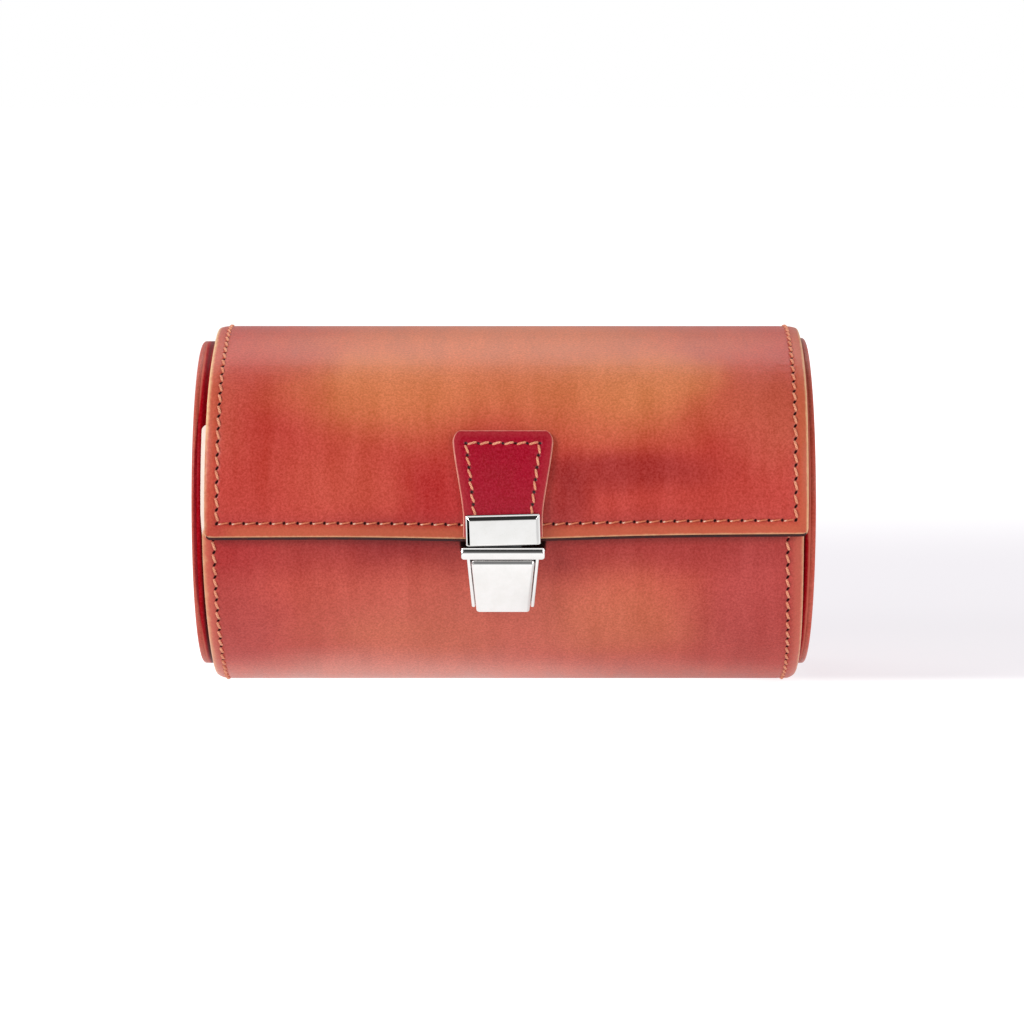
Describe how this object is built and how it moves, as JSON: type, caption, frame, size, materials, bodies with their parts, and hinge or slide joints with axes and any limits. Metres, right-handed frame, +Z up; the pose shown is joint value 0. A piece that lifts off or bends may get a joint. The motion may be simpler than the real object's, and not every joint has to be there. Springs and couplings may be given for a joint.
{
  "type": "brush roll case",
  "caption": "Round leather brush case: a stiff lined barrel with plugged round ends, a wrap-over flap hinged along the back, and a chrome press-button tuck lock at the front.",
  "frame": {"origin": "middle of the flat foot under the barrel", "axes": "+X along the barrel to the right as seen from the front, -Y to the front where the lock is, +Z up"},
  "size_m": [0.1696, 0.1063, 0.0995],
  "materials": {
    "patina_leather": "hand-dyed amber to brick red patina, smooth and softly glossy, cream stitching",
    "crimson_leather": "crimson, smooth, softly glossy",
    "coral_leather": "coral, burnished round rim",
    "suede_lining": "brushed suede",
    "band_leather": "dark brown, soft",
    "grey_board": "pressed board",
    "chrome": "bright plated",
    "steel": "satin"
  },
  "bodies": {
    "case": {"body_leather": "patina_leather", "body_core": "grey_board", "body_lining": "suede_lining", "left_end_cover": "coral_leather", "left_end_collar": "crimson_leather", "left_end_board": "grey_board", "left_end_lining": "suede_lining", "right_end_cover": "coral_leather", "right_end_collar": "crimson_leather", "right_end_board": "grey_board", "right_end_lining": "suede_lining", "lock_case": "chrome", "lock_base": "steel", "button_pin_left": "steel", "button_pin_right": "steel", "catch_spring": "steel", "catch_rivet": "steel", "lock_back_plate": "steel", "lock_screw_left": "steel", "lock_screw_right": "steel", "brush_band": "band_leather"},
    "flap": {"flap_leather": "patina_leather", "flap_core": "grey_board", "flap_lining": "suede_lining", "lock_tab": "crimson_leather", "hasp_cap": "chrome", "hasp_tongue": "steel", "hasp_back_plate": "steel", "hasp_stud_left": "steel", "hasp_stud_right": "steel"},
    "button": {"lock_button": "chrome"}
  },
  "joints": [
    {"name": "flap_hinge", "type": "hinge", "parent": "case", "child": "flap", "pos_m": [0, 0.03214, 0.08781], "axis": [-1, 0, 0], "range_deg": [0, 140], "deforming": ["catch_spring"]},
    {"name": "button_press", "type": "hinge", "parent": "case", "child": "button", "pos_m": [0, -0.0513, 0.03855], "axis": [1, 0, 0], "range_deg": [0, 5], "stiffness_Nm_per_rad": 0.3, "springref_deg": -2.01, "deforming": ["catch_spring"]}
  ]
}
